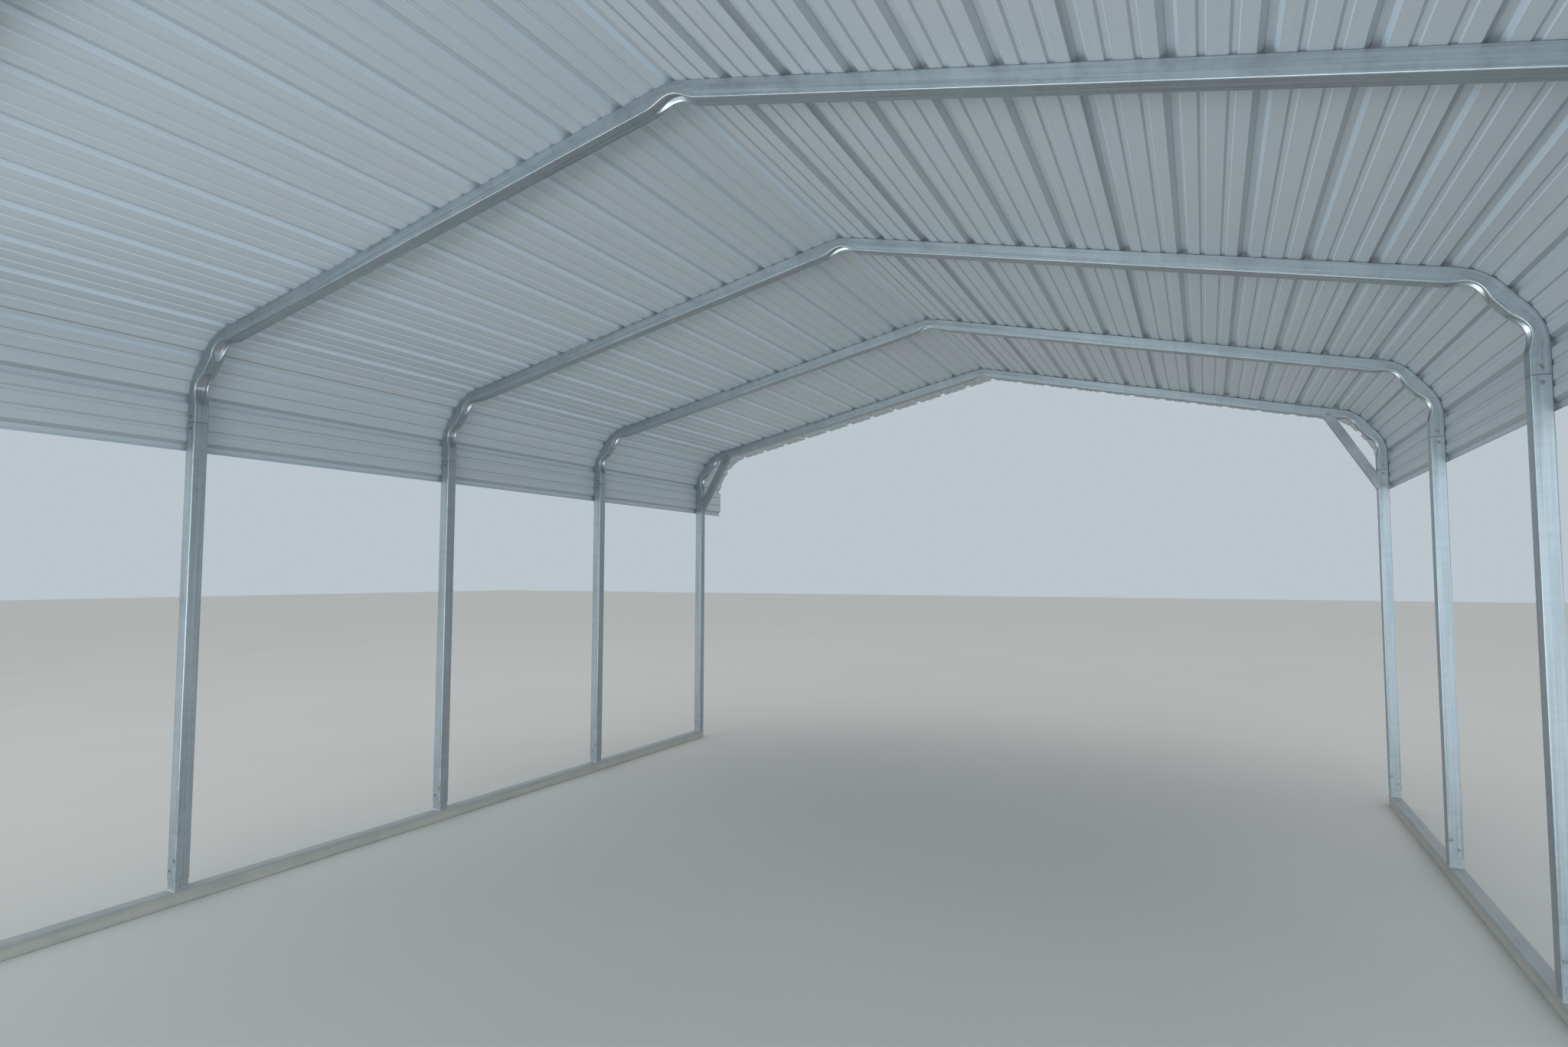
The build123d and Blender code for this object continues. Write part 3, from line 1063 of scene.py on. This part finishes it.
def sheet_path(tubes):
    """Line that the sheets follow, carried down past the seams, with half its length."""
    stations = bow_stations(tubes, PATH_STEP, lower=PATH_DROP)
    return path_object("sheet_line", stations), stations[-1]["along"] / 2, stations


def place_on_path(stations, middle, distance, height):
    """Point and outward direction at a distance down from the ridge, right side positive."""
    at = middle - distance
    for a, b in zip(stations, stations[1:]):
        if a["along"] <= at <= b["along"]:
            share = (at - a["along"]) / (b["along"] - a["along"])
            out = a["out"].lerp(b["out"], share).normalized()
            point = a["point"].lerp(b["point"], share) + out * height
            return Vector((point.x, 0, point.y)), Vector((out.x, 0, out.y))
    raise RuntimeError("the place is past the end of the line")


# Operators
class CARPORT_OT_legs(bpy.types.Operator):
    """Makes the ten legs as open square tubes"""
    bl_idname = "carport.legs"
    bl_label = "Legs"

    def execute(self, context):
        finish = zinc_finish("galvanised leg", settings().colours.zinc)
        profile = tube_profile("leg_profile", TUBE_SIZE, settings().tubes.corner)
        tree = tube_tree()
        for side, sign in SIDES:
            for number in FRAMES:
                low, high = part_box(f"leg_{side}_{number}")
                start = Vector((sign * HALF_WIDTH, (low.y + high.y) / 2, low.z))
                line = (start, UP, Vector((sign, 0, 0)), high.z - low.z)
                leg = straight_tube(f"post_{side}_{number}", tree, profile, TUBE_SIZE, line, ACROSS, finish)
                settle(leg, "galvanised_tube", f"leg_{side}_{number}")
        discard(profile)
        return {"FINISHED"}


class CARPORT_OT_base_rails(bpy.types.Operator):
    """Makes the two base rails with their stubs"""
    bl_idname = "carport.base_rails"
    bl_label = "Base rails"

    def execute(self, context):
        tubes = settings().tubes
        finish = zinc_finish("galvanised rail", settings().colours.zinc)
        stub_size = TUBE_SIZE - 2 * (tubes.wall + tubes.stub_slip)
        rail_profile = tube_profile("rail_profile", TUBE_SIZE, tubes.corner)
        stub_profile = tube_profile("stub_profile", stub_size, tubes.corner - tubes.wall)
        tree = tube_tree()
        for side, sign in SIDES:
            low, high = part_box(f"base_rail_{side}")
            line = (Vector((sign * LEG_CENTRE, low.y, TUBE_SIZE)), ACROSS, UP, high.y - low.y)
            made = [straight_tube(f"rail_{side}", tree, rail_profile, TUBE_SIZE, line, Vector((1, 0, 0)),
                                  finish)]
            for number in FRAMES:
                start = Vector((sign * (LEG_CENTRE + stub_size / 2), frame_place(number), TUBE_SIZE))
                line = (start, UP, Vector((sign, 0, 0)), LEG_FOOT - TUBE_SIZE + tubes.stub_reach)
                made.append(straight_tube(f"stub_{side}_{number}", tree, stub_profile, stub_size, line,
                                          ACROSS, finish))
            rail = join_pieces(f"sill_{side}", made)
            tidy_normals(rail)
            settle(rail, "galvanised_tube", f"base_rail_{side}")
        discard(rail_profile, stub_profile)
        return {"FINISHED"}


class CARPORT_OT_bows(bpy.types.Operator):
    """Makes the five bent bows with their pressed bends"""
    bl_idname = "carport.bows"
    bl_label = "Bows"

    def execute(self, context):
        tubes = settings().tubes
        finish = zinc_finish("galvanised bow", settings().colours.zinc)
        path = path_object("bow_line", bow_stations(tubes, BOW_STEP, lower=-SEAM_GAP))
        profile = tube_profile("bow_profile", TUBE_SIZE, tubes.corner, fine=True)
        tree = tube_tree()
        for number in FRAMES:
            bow = run_tree(f"hoop_{number}", tree, {
                "Path": path, "Profile": profile, "Size": TUBE_SIZE, "Finish": finish,
                "Shift": (0, frame_place(number), 0), "Sideways": ACROSS, "Lip Depth": tubes.lip_depth,
                "Groove Depth": tubes.groove_depth, "Groove Width": tubes.groove_width,
                "Bulge": tubes.lip_bulge})
            tidy_normals(bow, close=True)
            settle(bow, "galvanised_tube", f"bow_{number}")
        discard(path, profile)
        return {"FINISHED"}


class CARPORT_OT_roof_sheets(bpy.types.Operator):
    """Makes the seven ribbed sheets over the bows"""
    bl_idname = "carport.roof_sheets"
    bl_label = "Roof sheets"

    def execute(self, context):
        sheets = settings().sheets
        finish = sheet_finish()
        path, middle, _ = sheet_path(settings().tubes)
        parts = section_parts(sheets)
        tree = sheet_tree()
        plan = [("ridge", 1, -PITCHES // 2, ("over", "over"))]
        for side, sign in SIDES:
            for number in (1, 2, 3):
                edges = ("under", "free" if number == 3 else "over")
                plan.append((f"{side}_{number}", sign, PITCHES * number - PITCHES // 2, edges))
        for seed, (name, sign, first, edges) in enumerate(plan):
            sheet = run_tree(f"ribbed_sheet_{name}", tree, {
                "Path": path, "Rib": parts["rib"], "Between": parts["between"],
                "First Rib": parts["first_" + edges[0]], "Last Rib": parts["last_" + edges[1]],
                "First": first, "Pitches": PITCHES, "Rib Pitch": sheets.rib_pitch, "Side": float(sign),
                "Middle": middle, "Length": SHEET_LENGTH, "Rows": sheets.rows,
                "Ripple": sheets.ripple, "Seed": float(seed), "Finish": finish})
            self.thicken(sheet, sheets.gauge)
            settle(sheet, "coated_sheet", f"roof_sheet_{name}")
        discard(path, *parts.values())
        return {"FINISHED"}

    def thicken(self, sheet, gauge):
        """Gives the sheet its thickness, away from the bows."""
        shape = bmesh.new()
        shape.from_mesh(sheet.data)
        shape.faces.ensure_lookup_table()
        middle = shape.faces[len(shape.faces) // 2]
        if middle.normal.z < 0:
            bmesh.ops.reverse_faces(shape, faces=shape.faces)
        shape.to_mesh(sheet.data)
        shape.free()
        add_wall(sheet, gauge, 1)


class CARPORT_OT_braces(bpy.types.Operator):
    """Gives the four corner braces their finish"""
    bl_idname = "carport.braces"
    bl_label = "Corner braces"

    def execute(self, context):
        finish = zinc_finish("galvanised strip", settings().colours.strip_zinc, follows_strip=False)
        for side, _ in SIDES:
            for end in ("front", "back"):
                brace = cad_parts[f"brace_{side}_{end}"]
                for slot in brace.material_slots:
                    slot.material = finish
        return {"FINISHED"}


class CARPORT_OT_frame_screws(bpy.types.Operator):
    """Adds the screws at the seams, the feet and the braces"""
    bl_idname = "carport.frame_screws"
    bl_label = "Frame screws"

    def execute(self, context):
        fixings = settings().fixings
        points = []
        front = Vector((0, -1, 0))
        for _, sign in SIDES:
            for number in FRAMES:
                face = frame_place(number) - TUBE_SIZE / 2
                for offset in (-fixings.seam_spread, fixings.seam_spread):
                    points.append((Vector((sign * LEG_CENTRE, face, SEAM_HEIGHT + offset)), front))
                for across, lift in FOOT_SCREWS:
                    points.append((Vector((sign * (LEG_CENTRE + across), face, LEG_FOOT + lift)), front))
        points += self.brace_points()
        screw = hex_screw("frame_screw", fixings, washer=False)
        put_fixings("frame_screws", fixing_tree(), points, screw, screw_finish())
        return {"FINISHED"}

    def brace_points(self):
        """A screw at each end of each brace, on the face of its web."""
        points = []
        for side, sign in SIDES:
            for end, way in (("front", 1), ("back", -1)):
                low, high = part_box(f"brace_{side}_{end}")
                face = high.y if way > 0 else low.y
                for x, z in BRACE_SCREWS:
                    points.append((Vector((sign * x, face, z)), Vector((0, way, 0))))
        return points


class CARPORT_OT_sheet_screws(bpy.types.Operator):
    """Adds the roof screws with their washers beside the ribs, over each bow"""
    bl_idname = "carport.sheet_screws"
    bl_label = "Roof screws"

    def execute(self, context):
        fixings, sheets = settings().fixings, settings().sheets
        path, middle, stations = sheet_path(settings().tubes)
        discard(path)
        random.seed(fixings.seed)
        points = []
        for number in FRAMES:
            for rib in range(-OUTER_RIB, OUTER_RIB + 1):
                beside = RIB_TO_SCREW if rib >= 0 else -RIB_TO_SCREW
                distance = rib * sheets.rib_pitch + beside + random.uniform(-SCATTER_DOWN, SCATTER_DOWN)
                place, out = place_on_path(stations, middle, distance, sheets.gauge + sheets.ripple)
                place.y = frame_place(number) + random.uniform(-SCATTER_ACROSS, SCATTER_ACROSS)
                points.append((place, out))
        tree = fixing_tree()
        screw = hex_screw("roof_screw", fixings, washer=True)
        put_fixings("roof_screws", tree, points, screw, screw_finish())
        disc = washer_disc("roof_washer", fixings)
        put_fixings("roof_washers", tree, points, disc, washer_finish())
        return {"FINISHED"}


class CARPORT_OT_welds(bpy.types.Operator):
    """Adds the weld bead round the foot of each stub"""
    bl_idname = "carport.welds"
    bl_label = "Welds"

    def execute(self, context):
        tubes, fixings = settings().tubes, settings().fixings
        half = TUBE_SIZE / 2 - tubes.wall - tubes.stub_slip
        random.seed(fixings.seed)
        points = []
        for _, sign in SIDES:
            for number in FRAMES:
                middle = Vector((sign * LEG_CENTRE, frame_place(number), TUBE_SIZE))
                for way in (-1, 1):
                    for i in range(WELD_STEPS + 1):
                        run = half * (2 * i / WELD_STEPS - 1)
                        wander = random.uniform(-WELD_WANDER, WELD_WANDER)
                        points.append(middle + Vector((way * half, run, wander)))
                        points.append(middle + Vector((run, way * half, wander)))
        line = line_object("weld_points", points)
        made = run_tree("stub_welds", weld_tree(), {
            "Line": line, "Size": fixings.weld_bead, "Seed": fixings.seed, "Finish": weld_finish()})
        settle(made, "galvanised_strip")
        discard(line)
        return {"FINISHED"}


class CARPORT_OT_stage(bpy.types.Operator):
    """Makes the floor, the light and the camera"""
    bl_idname = "carport.stage"
    bl_label = "Stage"

    def execute(self, context):
        self.make_floor()
        self.make_sky(context)
        self.make_lamps()
        self.make_camera(context)
        context.scene.view_settings.view_transform = "Standard"
        return {"FINISHED"}

    def make_floor(self):
        """A plain pale floor."""
        finish = Finish("floor")
        mottle = finish.noise(finish.place(), 0.6, 3.0)
        base = settings().colours.floor
        tone = finish.ramp(mottle, (0.3, tuple(c * 0.97 for c in base)), (0.7, base))
        finish.surface(base_color=tone, roughness=0.85, specular_ior_level=0.2)
        corners = [(x * FLOOR_REACH, y * FLOOR_REACH, 0) for x, y in ((-1, -1), (1, -1), (1, 1), (-1, 1))]
        mesh = bpy.data.meshes.new("floor")
        mesh.from_pydata(corners, [], [(0, 1, 2, 3)])
        mesh.materials.append(finish.material)
        new_mesh_object("floor", mesh)

    def make_sky(self, context):
        """Soft light from all round, and the plain backdrop that the camera sees."""
        world = bpy.data.worlds.new("studio")
        world.use_nodes = True
        world.node_tree.nodes.clear()
        graph = Graph(world.node_tree)
        colours = settings().colours
        seen = graph.add("ShaderNodeLightPath")
        shown = seen["Is Camera Ray"] + seen["Is Glossy Ray"] + seen["Is Transmission Ray"]
        lighting = graph.add("ShaderNodeBackground", {}, {"Color": WORLD_TINT, "Strength": WORLD_STRENGTH})
        backdrop = graph.add("ShaderNodeBackground", {}, {"Color": (*colours.backdrop, 1), "Strength": 1.0})
        both = graph.add("ShaderNodeMixShader", {}, {}, (shown, lighting, backdrop))
        graph.add("ShaderNodeOutputWorld", {}, {"Surface": both})
        context.scene.world = world

    def make_lamps(self):
        """Large soft lamps in front of the bay, low beside it and high over the roof."""

        # Name, place, aim, size, spread in degrees, power in watts and tint
        plan = (
            ("low front panel", (-0.5, -11, 4.0), (0, 0, 1.8), (11, 8), 180, 290, (0.80, 0.93, 1.0)),
            ("upper panel", (2.6, -11.5, 7.6), (0, 0, 2.6), (9, 3), 180, 440, (0.82, 0.94, 1.0)),
            ("low front lamp", (-0.4, -8.0, 1.0), (1.2, 0, 3.0), (12, 1.8), 120, 225, (0.82, 0.94, 1.0)),
            ("low side lamp", (8.5, 0.3, 0.8), (-2.2, 0.3, 2.9), (10, 1.4), 110, 58, (0.78, 0.92, 1.0)),
            ("high lamp", (-3, -3, 16), (0, 0, 2), (14, 14), 180, 260, (1.0, 0.99, 0.97)),
        )
        for name, place, aim, size, spread, power, tint in plan:
            lamp = bpy.data.lights.new(name, "AREA")
            lamp.shape = "RECTANGLE"
            lamp.size, lamp.size_y = size
            lamp.spread = math.radians(spread)
            lamp.energy = power
            lamp.color = tint
            holder = bpy.data.objects.new(name, lamp)
            holder.visible_camera = False
            holder.location = place
            way = Vector(aim) - Vector(place)
            holder.rotation_euler = way.to_track_quat("-Z", "Y").to_euler()
            bpy.context.scene.collection.objects.link(holder)
            if name.startswith("low"):
                self.spare_floor(holder)

    def spare_floor(self, holder):
        """Keeps a low lamp's pool of light off the floor."""
        spared = bpy.data.collections.new(holder.name)
        spared.objects.link(bpy.data.objects["floor"])
        spared.collection_objects[0].light_linking.link_state = "EXCLUDE"
        holder.light_linking.receiver_collection = spared

    def make_camera(self, context):
        """The camera at the front of the bay, under the roof's edge."""
        yaw, tilt, roll = (math.radians(a) for a in CAMERA_TURN)
        camera = bpy.data.cameras.new("camera")
        camera.sensor_width = 36
        camera.lens = FOCAL_PIXELS * camera.sensor_width / IMAGE_WIDTH
        camera.clip_start = 0.02
        camera.clip_end = 300
        holder = bpy.data.objects.new("camera", camera)
        aim = Matrix.Rotation(yaw, 4, "Z") @ Matrix.Rotation(math.pi / 2 + tilt, 4, "X")
        holder.matrix_world = Matrix.Translation(CAMERA_PLACE) @ aim @ Matrix.Rotation(roll, 4, "Z")
        context.scene.collection.objects.link(holder)
        context.scene.camera = holder


OPERATORS = (
    CARPORT_OT_base_rails,
    CARPORT_OT_legs,
    CARPORT_OT_bows,
    CARPORT_OT_roof_sheets,
    CARPORT_OT_braces,
    CARPORT_OT_frame_screws,
    CARPORT_OT_sheet_screws,
    CARPORT_OT_welds,
    CARPORT_OT_stage,
)


class CARPORT_PT_panel(bpy.types.Panel):
    """Lists the sizes, colours and steps of the carport"""
    bl_idname = "CARPORT_PT_panel"
    bl_label = "Carport"
    bl_space_type = "VIEW_3D"
    bl_region_type = "UI"
    bl_category = "Carport"

    def draw(self, context):
        layout = self.layout
        for name in ("tubes", "sheets", "fixings", "colours"):
            group = getattr(context.scene.carport, name)
            box = layout.box()
            box.label(text=name.title())
            for key in group.__annotations__:
                box.prop(group, key)
        for operator in OPERATORS:
            layout.operator(operator.bl_idname)


CLASSES = (CarportTubes, CarportSheets, CarportFixings, CarportColours, CarportSettings,
           *OPERATORS, CARPORT_PT_panel)


def register():
    """Registers the classes and the scene's settings."""
    for item in CLASSES:
        bpy.utils.register_class(item)
    bpy.types.Scene.carport = PointerProperty(type=CarportSettings)


def unregister():
    """Removes the settings and the classes."""
    del bpy.types.Scene.carport
    for item in reversed(CLASSES):
        bpy.utils.unregister_class(item)


def main():
    """Makes every piece in order."""
    register()
    for operator in OPERATORS:
        group, name = operator.bl_idname.split(".")
        getattr(getattr(bpy.ops, group), name)()


if __name__ == "__main__":
    main()
